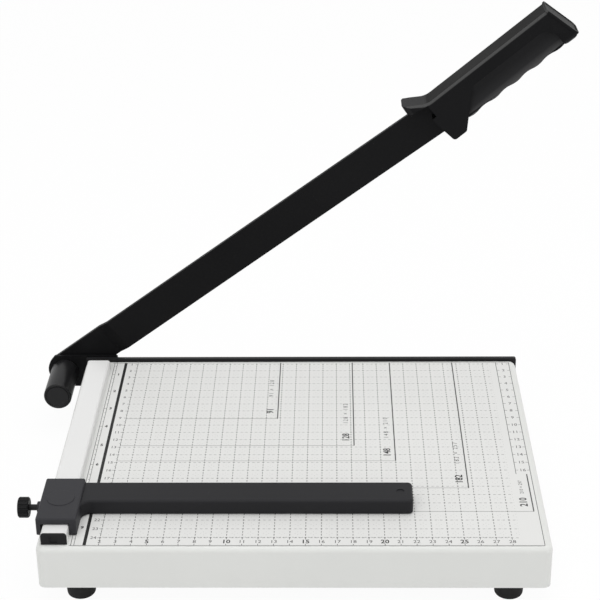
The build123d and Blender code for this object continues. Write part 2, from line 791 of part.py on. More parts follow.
def make_guide_bar():
    """Paper stop: hollow moulded bar with cross ribs, screw bosses and a gusset at the head."""
    body = block(guide_right, bar_right, bar_front, bar_back, bar_low, bar_high)
    body = fillet(body.edges().filter_by(Axis.Z).group_by(Axis.X)[-1], bar_corner_radius)
    corner, low_end = (guide_right, bar_front), (guide_right, bar_front - bar_gusset)
    far_end = (guide_right + bar_gusset, bar_front)
    hollow = bar_gusset * (1 - math.sqrt(0.5))
    arc = ThreePointArc(low_end, (guide_right + hollow, bar_front - hollow), far_end)
    gusset = make_face(Line(corner, low_end) + arc + Line(far_end, corner))
    body += Pos(0, 0, bar_low) * extrude(gusset, bar_height)
    rim = [e for e in body.edges().group_by(Axis.Z)[-1] if e.center().X > guide_right + 0.1]
    body = fillet(rim, bar_edge_radius)
    length = bar_right - guide_right - 2 * bar_wall
    bays = max(1, round(length / bar_rib_pitch))
    pitch = (length + bar_wall / 2) / bays
    first = guide_right + bar_wall
    for index in range(bays):
        left = first + index * pitch + (3 * bar_wall if index == 0 else 0)
        right = first + (index + 1) * pitch - bar_wall / 2
        body -= block(left, right, bar_front + bar_wall, bar_back - bar_wall,
                      bar_low - 1, bar_high - bar_wall)
    dimple = Pos(bar_right - bar_dimple_inset, bar_front + bar_width / 2, bar_high)
    body -= dimple * rod(bar_dimple_radius, -bar_dimple_depth, 1)
    for y in bar_screw_y:
        body -= place(rod(screw_radius, -bar_screw_bite, 1), guide_right, y, bar_screw_z, (-1, 0, 0))
    return body


def make_guide_screws():
    length = guide_right_leg + bar_screw_bite - screw_tail
    inner_face = guide_right - guide_right_leg
    return Compound(children=[place(csk_screw(length), inner_face, y, bar_screw_z, (-1, 0, 0))
                              for y in bar_screw_y])


def make_clamp_insert():
    """Threaded bush pressed into the boss."""
    bush = ring(insert_radius, stud_radius + running_clearance, -guide_left_leg, guide_boss_height)
    return place(bush, guide_left, guide_mid, clamp_z, (-1, 0, 0))


# ---------------------------------------------------------------- thumb screw
# Built along Z, with +Z towards the knob and zero on the outer face of the saddle's left leg.
stud_tip = -guide_left_leg - guide_left_gap + moving_gap
knob_base = guide_boss_height + stud_exposed
knob_core = knob_base + knob_length * 0.6


def on_clamp(shape):
    return place(shape, guide_left, guide_mid, clamp_z, (-1, 0, 0))


def make_stud():
    stud = rod(stud_radius, stud_tip, knob_core)
    return on_clamp(chamfer(stud.edges().sort_by(Axis.Z)[0], stud_radius * 0.25))


def make_knob():
    """Fluted knob moulded on the stud."""
    body = rod(knob_radius, knob_base, knob_base + knob_length)
    body = chamfer(body.edges().group_by(Axis.Z)[0] + body.edges().group_by(Axis.Z)[-1], flute_radius)
    flute = rod(flute_radius, knob_base - 1, knob_base + knob_length + 1)
    flute = Pos(knob_radius + flute_radius * 0.3, 0, 0) * flute
    for index in range(knob_flutes):
        body -= Rot(0, 0, index * 360 / knob_flutes) * flute
    return on_clamp(body - rod(stud_radius, knob_base - 1, knob_core))


nodes = {
    "bed_tray": make_tray(),
    "foot_plates": make_corner_plates(),
    "foot_screws": make_foot_screws(),
    "foot_nuts": make_foot_nuts(),
    "fence_rail": make_fence(),
    "fence_plug_front": make_fence_plug(fence_front, -1),
    "fence_plug_rear": make_fence_plug(fence_back, 1),
    "fence_screws": make_fence_screws(),
    "fence_nuts": make_fence_nuts(),
    "fixed_knife": make_knife(),
    "knife_screws": make_knife_screws(),
    "knife_nuts": make_wall_nuts(knife_screw_x),
    "hinge_bracket": make_bracket(),
    "bracket_screws": make_bracket_screws(),
    "bracket_nuts": make_wall_nuts(bracket_screw_x),
    "pivot_bolt": make_bolt(),
    "friction_washer": on_pivot(ring(friction_washer_radius, bolt_radius + hole_clearance,
                                     -friction_washer_thickness, 0)),
    "head_washer": on_pivot(ring(head_washer_radius, bolt_radius + hole_clearance,
                                 head_washer_back, head_washer_front)),
    "spring_seat": make_seat(),
    "pressure_spring": make_spring(),
    "spring_washer": on_pivot(ring(end_washer_radius, bolt_radius + hole_clearance,
                                   spring_front, nut_back)),
    "lock_nut": make_lock_nut(),
    "spring_cup": make_cup(),
    "blade_arm": make_arm(),
    "handle": make_handle(),
    "handle_cap": make_handle_cap(),
    "handle_screws": make_handle_screws(),
    "guide_head": make_guide_head(),
    "guide_bar": make_guide_bar(),
    "guide_screws": make_guide_screws(),
    "clamp_insert": make_clamp_insert(),
    "clamp_stud": make_stud(),
    "clamp_knob": make_knob(),
}
foot_names = ("front_left", "back_left", "front_right", "back_right")
for foot_name, (foot_x, foot_y) in zip(foot_names, foot_places):
    nodes["rubber_foot_" + foot_name] = make_foot(foot_x, foot_y)

os.makedirs("parts", exist_ok=True)
for node_name, solid in nodes.items():
    export_step(solid, f"parts/{node_name}.step")
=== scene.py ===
import math
import bpy
import bmesh
from mathutils import Matrix, Vector


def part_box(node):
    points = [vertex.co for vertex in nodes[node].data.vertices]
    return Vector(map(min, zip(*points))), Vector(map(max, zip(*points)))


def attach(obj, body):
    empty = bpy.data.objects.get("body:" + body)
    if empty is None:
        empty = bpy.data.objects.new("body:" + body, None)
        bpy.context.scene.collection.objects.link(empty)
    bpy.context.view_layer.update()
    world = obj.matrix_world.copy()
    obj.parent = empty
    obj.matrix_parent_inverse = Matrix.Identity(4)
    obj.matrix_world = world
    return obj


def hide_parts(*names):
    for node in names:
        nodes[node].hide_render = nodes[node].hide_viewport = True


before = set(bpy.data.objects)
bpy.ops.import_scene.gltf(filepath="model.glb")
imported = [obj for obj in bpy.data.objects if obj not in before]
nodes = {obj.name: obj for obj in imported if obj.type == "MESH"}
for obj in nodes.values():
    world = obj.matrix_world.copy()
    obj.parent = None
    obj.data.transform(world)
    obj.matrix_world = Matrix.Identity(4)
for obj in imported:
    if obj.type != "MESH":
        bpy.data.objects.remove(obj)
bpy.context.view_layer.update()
mm = 0.001


def clearMesh(name, vertices, faces):
    mesh = bpy.data.meshes.new(name)
    mesh.from_pydata(vertices, [], faces)
    mesh.update()
    return mesh


def addObject(name, data):
    piece = bpy.data.objects.new(name, data)
    bpy.context.scene.collection.objects.link(piece)
    return piece


def toLinear(hexColour):
    parts = [int(hexColour[i:i + 2], 16) / 255 for i in (0, 2, 4)]
    return [c / 12.92 if c <= 0.04045 else ((c + 0.055) / 1.055) ** 2.4 for c in parts] + [1.0]


# Shader groups: each gives masks, heights or colours to the materials that use it

def newGroup(name, inputs, outputs):
    tree = bpy.data.node_groups.new(name, "ShaderNodeTree")
    for label, kind, value in inputs:
        socket = tree.interface.new_socket(label, in_out="INPUT", socket_type=kind)
        if value is not None:
            socket.default_value = value
    for label, kind in outputs:
        tree.interface.new_socket(label, in_out="OUTPUT", socket_type=kind)
    return tree, tree.nodes.new("NodeGroupInput"), tree.nodes.new("NodeGroupOutput")


def addNode(tree, kind, **settings):
    node = tree.nodes.new(kind)
    for key, value in settings.items():
        setattr(node, key, value)
    return node


def addMath(tree, operation, first, second=None):
    node = addNode(tree, "ShaderNodeMath", operation=operation)
    for index, value in enumerate((first, second)):
        if value is None:
            continue
        if isinstance(value, (int, float)):
            node.inputs[index].default_value = value
        else:
            tree.links.new(value, node.inputs[index])
    return node.outputs[0]


def addRamp(tree, source, low, high, lowValue=0.0, highValue=1.0):
    node = addNode(tree, "ShaderNodeMapRange", clamp=True)
    tree.links.new(source, node.inputs["Value"])
    for label, value in (("From Min", low), ("From Max", high), ("To Min", lowValue), ("To Max", highValue)):
        node.inputs[label].default_value = value
    return node.outputs["Result"]


def addNoise(tree, vector, scale, detail=2.0, roughness=0.5):
    node = addNode(tree, "ShaderNodeTexNoise")
    tree.links.new(vector, node.inputs["Vector"])
    if isinstance(scale, (int, float)):
        node.inputs["Scale"].default_value = scale
    else:
        tree.links.new(scale, node.inputs["Scale"])
    node.inputs["Detail"].default_value = detail
    node.inputs["Roughness"].default_value = roughness
    return node.outputs["Fac"]


def makeGrainGroup():   # moulded or sprayed skin: fine pits, soft waves and a slow change of tone
    inputs = (("Vector", "NodeSocketVector", None), ("Grain", "NodeSocketFloat", 1800.0),
              ("Waves", "NodeSocketFloat", 60.0))
    outputs = (("Height", "NodeSocketFloat"), ("Tone", "NodeSocketFloat"))
    tree, source, result = newGroup("surfaceGrain", inputs, outputs)
    fine = addNoise(tree, source.outputs["Vector"], source.outputs["Grain"], 3.0, 0.6)
    wave = addNoise(tree, source.outputs["Vector"], source.outputs["Waves"], 1.0)
    height = addMath(tree, "ADD", addMath(tree, "MULTIPLY", fine, 0.7), addMath(tree, "MULTIPLY", wave, 0.3))
    tree.links.new(height, result.inputs["Height"])
    slow = addNoise(tree, source.outputs["Vector"], 14.0, 3.0)
    tone = addMath(tree, "ADD", addMath(tree, "MULTIPLY", slow, 0.8), addMath(tree, "MULTIPLY", fine, 0.2))
    tree.links.new(tone, result.inputs["Tone"])
    return tree


def makeScuffGroup():   # short thin scratches in two directions, in patches
    inputs = (("Vector", "NodeSocketVector", None), ("Scale", "NodeSocketFloat", 90.0),
              ("Amount", "NodeSocketFloat", 0.3))
    tree, source, result = newGroup("scuffs", inputs, (("Mask", "NodeSocketFloat"),))
    lines = []
    for angle, stretch in ((0.35, (1.0, 14.0, 14.0)), (-0.6, (14.0, 1.0, 14.0))):
        mapping = addNode(tree, "ShaderNodeMapping")
        mapping.inputs["Rotation"].default_value = (0.2, angle, angle * 1.7)
        mapping.inputs["Scale"].default_value = stretch
        tree.links.new(source.outputs["Vector"], mapping.inputs["Vector"])
        noise = addNoise(tree, mapping.outputs["Vector"], source.outputs["Scale"], 2.0, 0.7)
        lines.append(addRamp(tree, noise, 0.66, 0.74))
    patch = addRamp(tree, addNoise(tree, source.outputs["Vector"], 22.0, 2.0), 0.45, 0.7)
    both = addMath(tree, "MAXIMUM", lines[0], lines[1])
    mask = addMath(tree, "MULTIPLY", addMath(tree, "MULTIPLY", both, patch), source.outputs["Amount"])
    tree.links.new(mask, result.inputs["Mask"])
    return tree


def makeBrushedGroup():   # long parallel lines left by grinding or drawing
    inputs = (("Vector", "NodeSocketVector", None), ("Scale", "NodeSocketFloat", 700.0))
    outputs = (("Height", "NodeSocketFloat"), ("Tone", "NodeSocketFloat"))
    tree, source, result = newGroup("brushedLines", inputs, outputs)
    mapping = addNode(tree, "ShaderNodeMapping")
    mapping.inputs["Scale"].default_value = (0.02, 1.0, 1.0)
    tree.links.new(source.outputs["Vector"], mapping.inputs["Vector"])
    line = addNoise(tree, mapping.outputs["Vector"], source.outputs["Scale"], 4.0, 0.65)
    tree.links.new(line, result.inputs["Height"])
    tree.links.new(addRamp(tree, line, 0.25, 0.75), result.inputs["Tone"])
    return tree


def makeRimGroup():   # painted highlight on rounded edges beside a face turned to a given direction, and a mask of that face for painted shade
    inputs = (("Normal", "NodeSocketVector", None), ("Direction", "NodeSocketVector", (0, 0, 1)),
              ("Amount", "NodeSocketFloat", 1.0))
    outputs = (("Mask", "NodeSocketFloat"), ("Shaded Face", "NodeSocketFloat"))
    tree, source, result = newGroup("rimHighlightAndCrownShade", inputs, outputs)
    dot = addNode(tree, "ShaderNodeVectorMath", operation="DOT_PRODUCT")
    tree.links.new(source.outputs["Normal"], dot.inputs[0])
    tree.links.new(source.outputs["Direction"], dot.inputs[1])
    turn = dot.outputs["Value"]
    # painted highlight: a band of normals between the crown face and the sides, weaker where the normal has
    # little front or back part
    rising, falling = addRamp(tree, turn, 0.15, 0.4), addRamp(tree, turn, 0.93, 0.985, 1.0, 0.0)
    band = addMath(tree, "MULTIPLY", rising, falling)
    facing = addNode(tree, "ShaderNodeSeparateXYZ")
    tree.links.new(source.outputs["Normal"], facing.inputs[0])
    sideways = addRamp(tree, addMath(tree, "ABSOLUTE", facing.outputs["Y"]), 0.12, 0.3, 0.3, 1.0)
    band = addMath(tree, "MULTIPLY", band, sideways)
    tree.links.new(addMath(tree, "MULTIPLY", band, source.outputs["Amount"]), result.inputs["Mask"])
    # mask of the crown face itself, which gets painted shade
    tree.links.new(addRamp(tree, turn, 0.95, 0.99), result.inputs["Shaded Face"])
    return tree


def makeHollowGroup():   # side faces that lie deeper than a given half width, stronger where they face up, for painted light
    inputs = (("Vector", "NodeSocketVector", None), ("Normal", "NodeSocketVector", None),
              ("Direction", "NodeSocketVector", (0, 0, 1)), ("Middle", "NodeSocketFloat", 0.0),
              ("Half Width", "NodeSocketFloat", 0.01))
    tree, source, result = newGroup("litHollowSides", inputs, (("Mask", "NodeSocketFloat"),))
    place, facing = addNode(tree, "ShaderNodeSeparateXYZ"), addNode(tree, "ShaderNodeSeparateXYZ")
    tree.links.new(source.outputs["Vector"], place.inputs[0])
    tree.links.new(source.outputs["Normal"], facing.inputs[0])
    away = addMath(tree, "ABSOLUTE", addMath(tree, "SUBTRACT", place.outputs["Y"], source.outputs["Middle"]))
    depth = addMath(tree, "SUBTRACT", source.outputs["Half Width"], away)
    sideways = addRamp(tree, addMath(tree, "ABSOLUTE", facing.outputs["Y"]), 0.6, 0.85)
    inside = addMath(tree, "MULTIPLY", addRamp(tree, depth, 0.0002, 0.0007), sideways)
    dot = addNode(tree, "ShaderNodeVectorMath", operation="DOT_PRODUCT")
    tree.links.new(source.outputs["Normal"], dot.inputs[0])
    tree.links.new(source.outputs["Direction"], dot.inputs[1])
    # painted light: faces turned up get more of the lighter colour, faces turned down less
    upFacingLight = addRamp(tree, dot.outputs["Value"], -0.25, 0.2, 0.35, 1.0)
    tree.links.new(addMath(tree, "MULTIPLY", inside, upFacingLight), result.inputs["Mask"])
    return tree


groups = {"grain": makeGrainGroup(), "scuffs": makeScuffGroup(), "brushed": makeBrushedGroup(),
          "rim": makeRimGroup(), "hollow": makeHollowGroup()}


def useGroup(tree, name, vector=None, normal=None, **values):
    node = addNode(tree, "ShaderNodeGroup", node_tree=groups[name])
    for label, source in (("Vector", vector), ("Normal", normal)):
        if source is not None:
            tree.links.new(source, node.inputs[label])
    for label, value in values.items():
        node.inputs[label].default_value = value
    return node


finishes = {
    "bedEnamel": {"colour": "E2E3E0", "shade": "DCDDDA", "rough": (0.36, 0.46), "grain": 1500,
                  "waves": 90, "bump": 0.05,
                  "scuff": 0.05, "scuffColour": "CFCECA", "coat": 0.1, "gloss": 0.4},
    "railEnamel": {"colour": "E8E8E7", "shade": "E2E2E1", "rough": (0.3, 0.4), "grain": 1200,
                   "waves": 40, "bump": 0.03,
                   "scuff": 0.10, "scuffColour": "CBCBC7", "coat": 0.15, "gloss": 0.4},
    "printFilm": {"colour": "E5E5E3", "shade": "DFDFDD", "rough": (0.42, 0.5), "grain": 900,
                  "waves": 25, "bump": 0.02, "scuff": 0.05, "scuffColour": "CCCCC8", "gloss": 0.3},
    "ink": {"colour": "3C3C3C", "shade": "4A4A4A", "rough": (0.5, 0.6), "grain": 1500,
            "waves": 200, "bump": 0.0, "scuff": 0.0, "scuffColour": "8A8A88", "gloss": 0.2},
    "faintInk": {"colour": "6E6E6C", "shade": "80807D", "rough": (0.5, 0.6), "grain": 1500,
                 "waves": 200, "bump": 0.0, "scuff": 0.0, "scuffColour": "A0A09E", "gloss": 0.2},
    "gridInk": {"colour": "484846", "shade": "585856", "rough": (0.5, 0.6), "grain": 1500,
                "waves": 200, "bump": 0.0, "scuff": 0.0, "scuffColour": "90908E", "gloss": 0.2},
    "blackInk": {"colour": "1C1C1C", "shade": "282828", "rough": (0.45, 0.55), "grain": 1500,
                 "waves": 200, "bump": 0.0, "scuff": 0.0, "scuffColour": "606060", "gloss": 0.2},
    "armEnamel": {"colour": "131314", "shade": "1B1B1C", "rough": (0.34, 0.46), "grain": 1100,
                  "waves": 70, "bump": 0.10, "scuff": 0.16, "scuffColour": "3A3A3B", "gloss": 0.06},
    "knifeSteel": {"colour": "222223", "shade": "2C2C2D", "rough": (0.32, 0.44), "grain": 1400,
                   "waves": 50, "bump": 0.06, "scuff": 0.25, "scuffColour": "585859", "gloss": 0.1},
    "cupEnamel": {"colour": "161617", "shade": "1E1E1F", "rough": (0.26, 0.38), "grain": 1200,
                  "waves": 60, "bump": 0.08, "scuff": 0.12, "scuffColour": "3C3C3D", "gloss": 0.2},
    "guidePlastic": {"colour": "313134", "shade": "39393C", "rough": (0.46, 0.56), "grain": 1900,
                     "waves": 60, "bump": 0.16, "scuff": 0.14, "scuffColour": "525255", "gloss": 0.12},
    "barPlastic": {"colour": "232325", "shade": "2B2B2D", "rough": (0.4, 0.5), "grain": 1900,
                   "waves": 60, "bump": 0.14, "scuff": 0.16, "scuffColour": "48484B", "gloss": 0.1},
    "plugPlastic": {"colour": "1B1B1C", "shade": "232324", "rough": (0.46, 0.56), "grain": 1900,
                    "waves": 80, "bump": 0.14, "scuff": 0.08, "scuffColour": "3E3E40", "gloss": 0.12},
    "handlePlastic": {"colour": "19191A", "shade": "212122", "rough": (0.34, 0.46), "grain": 1700,
                      "waves": 50, "bump": 0.14, "scuff": 0.14, "scuffColour": "343436", "gloss": 0.02},
    "knobPlastic": {"colour": "141415", "shade": "1C1C1D", "rough": (0.38, 0.5), "grain": 1900,
                    "waves": 120, "bump": 0.12, "scuff": 0.1, "scuffColour": "3A3A3B", "gloss": 0.1},
    "footRubber": {"colour": "181818", "shade": "222221", "rough": (0.68, 0.8), "grain": 1300,
                   "waves": 150, "bump": 0.25, "scuff": 0.12, "scuffColour": "40403E", "gloss": 0.2},
}
metals = {
    "zincSteel": {"colour": "B9BABB", "shade": "A2A3A5", "rough": (0.26, 0.42),
                "lines": 900, "bump": 0.05},
    "springSteel": {"colour": "8F9092", "shade": "7A7B7E", "rough": (0.24, 0.38),
                "lines": 1200, "bump": 0.05},
    "turnedBrass": {"colour": "C2A05A", "shade": "A78545", "rough": (0.24, 0.36),
                "lines": 1200, "bump": 0.05},
}


def startMaterial(name):
    material = bpy.data.materials.new(name)
    material.use_nodes = True
    tree = material.node_tree
    shader = tree.nodes["Principled BSDF"]
    place = addNode(tree, "ShaderNodeTexCoord").outputs["Object"]
    return material, tree, shader, place


def mixColours(tree, factor, first, second):
    node = addNode(tree, "ShaderNodeMix", data_type="RGBA")
    tree.links.new(factor, node.inputs["Factor"])
    for socket, value in (("A", first), ("B", second)):
        target = [s for s in node.inputs if s.name == socket and s.type == "RGBA"][0]
        if isinstance(value, list):
            target.default_value = value
        else:
            tree.links.new(value, target)
    return [s for s in node.outputs if s.type == "RGBA"][0]


def addBump(tree, shader, height, strength, distance=0.0002):
    bump = addNode(tree, "ShaderNodeBump")
    bump.inputs["Strength"].default_value = strength
    bump.inputs["Distance"].default_value = distance
    tree.links.new(height, bump.inputs["Height"])
    tree.links.new(bump.outputs["Normal"], shader.inputs["Normal"])


def makeFinish(name, values):
    material, tree, shader, place = startMaterial(name)
    grain = useGroup(tree, "grain", place, Grain=float(values["grain"]), Waves=float(values["waves"]))
    scuff = useGroup(tree, "scuffs", place, Amount=values["scuff"])
    base = mixColours(tree, grain.outputs["Tone"], toLinear(values["colour"]), toLinear(values["shade"]))
    colour = mixColours(tree, scuff.outputs["Mask"], base, toLinear(values["scuffColour"]))
    tree.links.new(colour, shader.inputs["Base Color"])
    low, high = values["rough"]
    tree.links.new(addRamp(tree, grain.outputs["Tone"], 0.3, 0.7, low, high), shader.inputs["Roughness"])
    shader.inputs["Specular IOR Level"].default_value = values["gloss"]
    shader.inputs["Coat Weight"].default_value = values.get("coat", 0.0)
    shader.inputs["Coat Roughness"].default_value = 0.25
    if values["bump"] > 0:
        addBump(tree, shader, grain.outputs["Height"], values["bump"])
    return material


def makeMetal(name, values):
    material, tree, shader, place = startMaterial(name)
    lines = useGroup(tree, "brushed", place, Scale=float(values["lines"]))
    colour = mixColours(tree, lines.outputs["Tone"], toLinear(values["colour"]), toLinear(values["shade"]))
    tree.links.new(colour, shader.inputs["Base Color"])
    shader.inputs["Metallic"].default_value = 1.0
    low, high = values["rough"]
    tree.links.new(addRamp(tree, lines.outputs["Tone"], 0.0, 1.0, low, high), shader.inputs["Roughness"])
    addBump(tree, shader, lines.outputs["Height"], values["bump"])
    return material


# crownAngle is the arm's angle and the tilt of the handle on it. rimHighlightColour is a painted highlight on
# the rounded rims, crownShadeColour painted shade on the crown face and gripLightColour painted light on the
# grip hollows
handleLook = {"crownAngle": 39.8, "rimHighlightColour": "565656", "rimHighlightAmount": 0.75, "crownShadeColour": "0C0C0C",
              "gripLightColour": "2E2E2F"}


def makeHandleFinish():   # moulded handle: painted highlight on the rims beside a crown darkened with painted shade, and painted light on the textured grip hollows
    values = finishes["handlePlastic"]
    material = makeFinish("handlePlastic", values)
    tree = material.node_tree
    shader = tree.nodes["Principled BSDF"]
    coordinates = addNode(tree, "ShaderNodeTexCoord")
    normal, place = coordinates.outputs["Normal"], coordinates.outputs["Object"]
    angle = math.radians(handleLook["crownAngle"])
    crown = (-math.sin(angle), 0, math.cos(angle))
    rim = useGroup(tree, "rim", normal=normal, Direction=crown, Amount=handleLook["rimHighlightAmount"])
    low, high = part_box("handle")
    hollow = useGroup(tree, "hollow", place, normal, Direction=crown, Middle=(low[1] + high[1]) / 2)
    hollow.inputs["Half Width"].default_value = (high[1] - low[1]) / 2
    colour = shader.inputs["Base Color"].links[0].from_socket
    # painted light on the grip hollows, then painted shade on the crown face, then a painted highlight on the
    # rims
    colour = mixColours(tree, hollow.outputs["Mask"], colour, toLinear(handleLook["gripLightColour"]))
    colour = mixColours(tree, rim.outputs["Shaded Face"], colour, toLinear(handleLook["crownShadeColour"]))
    colour = mixColours(tree, rim.outputs["Mask"], colour, toLinear(handleLook["rimHighlightColour"]))
    tree.links.new(colour, shader.inputs["Base Color"])
    return material


materials = {name: makeFinish(name, values) for name, values in finishes.items() if name != "handlePlastic"}
materials["handlePlastic"] = makeHandleFinish()
materials.update({name: makeMetal(name, values) for name, values in metals.items()})
print("materials", len(materials))

nodeFinish = {
    "bed_tray": "bedEnamel", "foot_plates": "zincSteel", "foot_screws": "zincSteel",
    "foot_nuts": "zincSteel", "fence_rail": "railEnamel", "fence_plug_front": "plugPlastic",
    "fence_plug_rear": "plugPlastic", "fence_screws": "zincSteel", "fence_nuts": "zincSteel",
    "fixed_knife": "knifeSteel", "knife_screws": "knifeSteel", "knife_nuts": "zincSteel",
    "hinge_bracket": "armEnamel", "bracket_screws": "knifeSteel", "bracket_nuts": "zincSteel",
    "pivot_bolt": "knifeSteel", "friction_washer": "knifeSteel", "head_washer": "zincSteel",
    "spring_seat": "zincSteel", "pressure_spring": "springSteel", "spring_washer": "zincSteel",
    "lock_nut": "zincSteel", "spring_cup": "cupEnamel", "blade_arm": "armEnamel",
    "handle": "handlePlastic", "handle_cap": "handlePlastic", "handle_screws": "zincSteel",
    "guide_head": "guidePlastic", "guide_bar": "barPlastic", "guide_screws": "zincSteel",
    "clamp_insert": "turnedBrass", "clamp_stud": "knifeSteel", "clamp_knob": "knobPlastic",
}
for name, node in nodes.items():
    for slot in node.material_slots:
        slot.material = materials[nodeFinish.get(name, "footRubber")]
print("frame nodes finished", len(nodes))

# Handle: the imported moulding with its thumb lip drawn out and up
handGrip = {"origin": (-180.0, 31.8), "armAngle": 36.4, "tilt": 3.4, "reach": 346.5,
            "lipStart": -8.0, "lipEnd": -17.4, "lipFloor": 14.0, "lipTop": 17.7, "lift": 6.0, "pull": 1.2,
            "mergeDistance": 0.01, "sharpAngle": 28.0}


def smoothStep(value, low, high):
    share = min(1.0, max(0.0, (value - low) / (high - low)))
    return share * share * (3 - 2 * share)


def weighNormals(mesh):   # wide faces keep their own direction, so only the rounded edges shade softly
    holder = addObject("holder", mesh)
    modifier = holder.modifiers.new("normals", "WEIGHTED_NORMAL")
    modifier.weight, modifier.keep_sharp = 100, True
    bpy.context.view_layer.update()
    finished = bpy.data.meshes.new_from_object(holder.evaluated_get(bpy.context.evaluated_depsgraph_get()))
    finished.name = mesh.name
    bpy.data.objects.remove(holder)
    return finished


def makeHandGrip():
    armAngle = math.radians(handGrip["armAngle"])
    angle = armAngle + math.radians(handGrip["tilt"])
    startX = (handGrip["origin"][0] + handGrip["reach"] * math.cos(armAngle)) * mm
    startZ = (handGrip["origin"][1] + handGrip["reach"] * math.sin(armAngle)) * mm
    alongX, alongZ = math.cos(angle), math.sin(angle)
    mesh = nodes["handle"].data.copy()
    mesh.name = "handGrip"
    shape = bmesh.new()
    shape.from_mesh(mesh)
    bmesh.ops.remove_doubles(shape, verts=shape.verts, dist=handGrip["mergeDistance"] * mm)
    for vertex in shape.verts:
        offX, offZ = vertex.co.x - startX, vertex.co.z - startZ
        along = (offX * alongX + offZ * alongZ) / mm
        height = (offZ * alongX - offX * alongZ) / mm
        share = smoothStep(along, handGrip["lipStart"], handGrip["lipEnd"]) \
            * smoothStep(height, handGrip["lipFloor"], handGrip["lipTop"])
        along, height = handGrip["pull"] * share * mm, handGrip["lift"] * share * mm
        vertex.co.x += along * alongX - height * alongZ
        vertex.co.z += along * alongZ + height * alongX
    shape.to_mesh(mesh)
    shape.free()
    for polygon in mesh.polygons:
        polygon.use_smooth = True
    mesh.set_sharp_from_angle(angle=math.radians(handGrip["sharpAngle"]))
    for index in range(len(mesh.materials)):
        mesh.materials[index] = materials["handlePlastic"]
    piece = addObject("handGrip", weighNormals(mesh))
    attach(piece, "blade_arm")
    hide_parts("handle")


makeHandGrip()
print("hand grip done")

# Spring cup: one turned profile, rim, inset end and open back
springCup = {"radius": 10.3, "length": 39.4, "wall": 1.4, "edge": 1.1, "ringRadius": 8.5, "ringWidth": 0.5,
             "ringDepth": 0.35, "insetDepth": 0.2, "edgeSteps": 5, "sides": 96,
             "mergeDistance": 0.005, "sharpAngle": 25.0}


def cupProfile():   # radius and depth from the front end, in mm, from the middle of the end to the back
    cup = springCup
    ring, width = cup["ringRadius"], cup["ringWidth"]
    points = [(0.0, cup["insetDepth"]), (ring - width, cup["insetDepth"]),
              (ring - width / 2, cup["ringDepth"] + cup["insetDepth"]),
              (ring + width / 2, cup["ringDepth"]), (ring + width, 0.0)]
    for step in range(cup["edgeSteps"] + 1):
        turn = math.pi / 2 * step / cup["edgeSteps"]
        radius = cup["radius"] - cup["edge"] * (1 - math.sin(turn))
        points.append((radius, cup["edge"] * (1 - math.cos(turn))))
    inner, floor = cup["radius"] - cup["wall"], cup["wall"] + cup["edge"]
    return points + [(cup["radius"], cup["length"]), (inner, cup["length"]), (inner, floor), (0.0, floor)]


def makeSpringCup():
    low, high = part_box("spring_cup")
    middleX, middleZ, back = (low[0] + high[0]) / 2, (low[2] + high[2]) / 2, high[1]
    shape = bmesh.new()
    front = back - springCup["length"] * mm
    line = [shape.verts.new((middleX + radius * mm, front + depth * mm, middleZ))
            for radius, depth in cupProfile()]
    edges = [shape.edges.new((line[index], line[index + 1])) for index in range(len(line) - 1)]
    bmesh.ops.spin(shape, geom=line + edges, cent=(middleX, 0, middleZ), axis=(0, 1, 0),
                   angle=math.tau, steps=springCup["sides"], use_duplicate=False)
    bmesh.ops.remove_doubles(shape, verts=shape.verts, dist=springCup["mergeDistance"] * mm)
    bmesh.ops.recalc_face_normals(shape, faces=shape.faces)
    mesh = bpy.data.meshes.new("springCup")
    shape.to_mesh(mesh)
    shape.free()
    for polygon in mesh.polygons:
        polygon.use_smooth = True
    mesh.set_sharp_from_angle(angle=math.radians(springCup["sharpAngle"]))
    mesh.materials.append(materials["cupEnamel"])
    piece = addObject("springCup", mesh)
    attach(piece, "base")
    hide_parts("spring_cup")


makeSpringCup()
print("spring cup done")

# Print on the bed, laid out from the corner where the fence meets the cutting edge
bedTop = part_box("bed_tray")[1][2]
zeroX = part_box("fence_rail")[1][0]
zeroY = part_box("fixed_knife")[1][1]
bedPrint = {
    "front": 248.4, "back": 7.6, "right": 299.8,
    "filmLeft": 1.2, "filmMargin": 0.5, "filmCorner": 1.5, "filmSteps": 6, "filmLift": 0.04, "inkLift": 0.06,
    "fineLine": 0.3, "frameLine": 0.36, "frameInset": 1.2, "leftLine": 2.4, "inchLine": 5.6,
    "gridPitch": 10.0, "dotPitch": 10 / 3, "dotLength": 1.7, "subLine": 0.16, "subDot": 0.5,
    "acrossLine": 0.42,
    "gridLeft": 20.0, "gridRight": 280.0, "rowRight": 288.0, "gridBack": 10.0, "gridFront": 240.0,
    "heavyX": 10.9, "heavyWidth": 2.1, "rulerLeft": 10.0, "rulerRight": 20.0, "rightRuler": 290.0,
    "rightLast": 16, "rightEnd": 165.0, "downLast": 24, "inchLast": 9, "quarterLast": 38,
    "rowLine": 239.4, "firstNumber": 2, "lastNumber": 28, "boldEvery": 5, "inch": 25.4,
    "dashStep": 2.0, "edgeDash": 1.0, "rowDash": 1.2, "rowTick": 2.4, "shortTick": 1.0, "middleTick": 1.8,
    "longTick": 2.0, "numberHeight": 3.4, "boldHeight": 4.0, "smallShare": 0.9, "textScale": 1.35,
    "boldOffset": 0.12, "rowNudge": 0.4, "downNudge": 0.2, "inchNumber": 2.9,
    "sheets": ((128, 91), (182, 128), (210, 148), (257, 182), (297, 210)),
    "sheetLine": 0.75, "sheetLift": 0.07,
    "labelInset": 5.4, "labelDrop": 11, "labelHeight": 5.2,
    "sizeLabel": {"drop": 44, "height": 3.4, "spread": 1.5},
    "lastLabel": {"drop": 29, "height": 2.6, "spread": 1.1},
}


def onBed(x, y, lift):
    return (zeroX + x * mm, zeroY - y * mm, bedTop + lift * mm)


